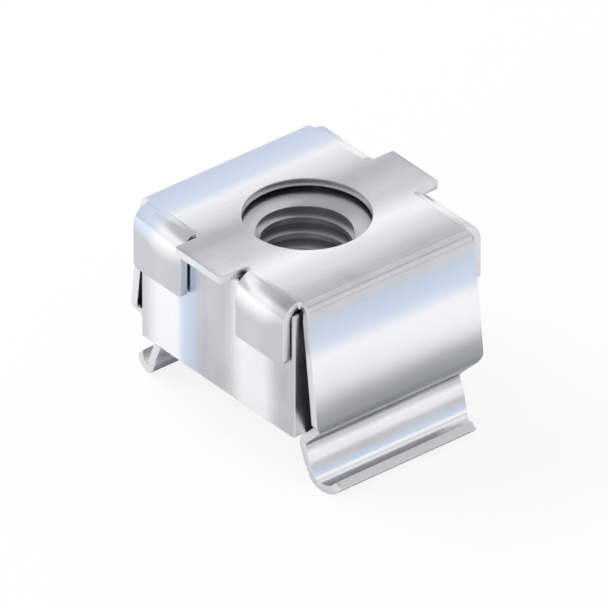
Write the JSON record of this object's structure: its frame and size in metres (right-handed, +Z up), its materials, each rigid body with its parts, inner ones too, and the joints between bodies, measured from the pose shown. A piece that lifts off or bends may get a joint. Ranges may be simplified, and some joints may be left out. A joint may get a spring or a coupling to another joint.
{
  "type": "rack cage nut",
  "caption": "Square threaded nut held loose in a folded spring-steel cage, whose hooked legs clip into a square hole of a rack rail to take a screw from the other side.",
  "frame": {"origin": "on the axis of the thread, level with the lowest point of the two hooks", "axes": "+Z up along the thread, from the hooks to the flat top plate; X across the two legs, so that each wall and its leg faces +X or -X; Y along the plate's two tabs"},
  "size_m": [0.0138, 0.012, 0.0094],
  "materials": {
    "cage_zinc": "bright zinc plate on rolled spring steel, satin along the sheet",
    "nut_zinc": "bright zinc plate on a drawn steel block, sawn at its ends"
  },
  "bodies": {
    "root": {"spring_cage": "cage_zinc", "square_nut": "nut_zinc"}
  },
  "joints": []
}
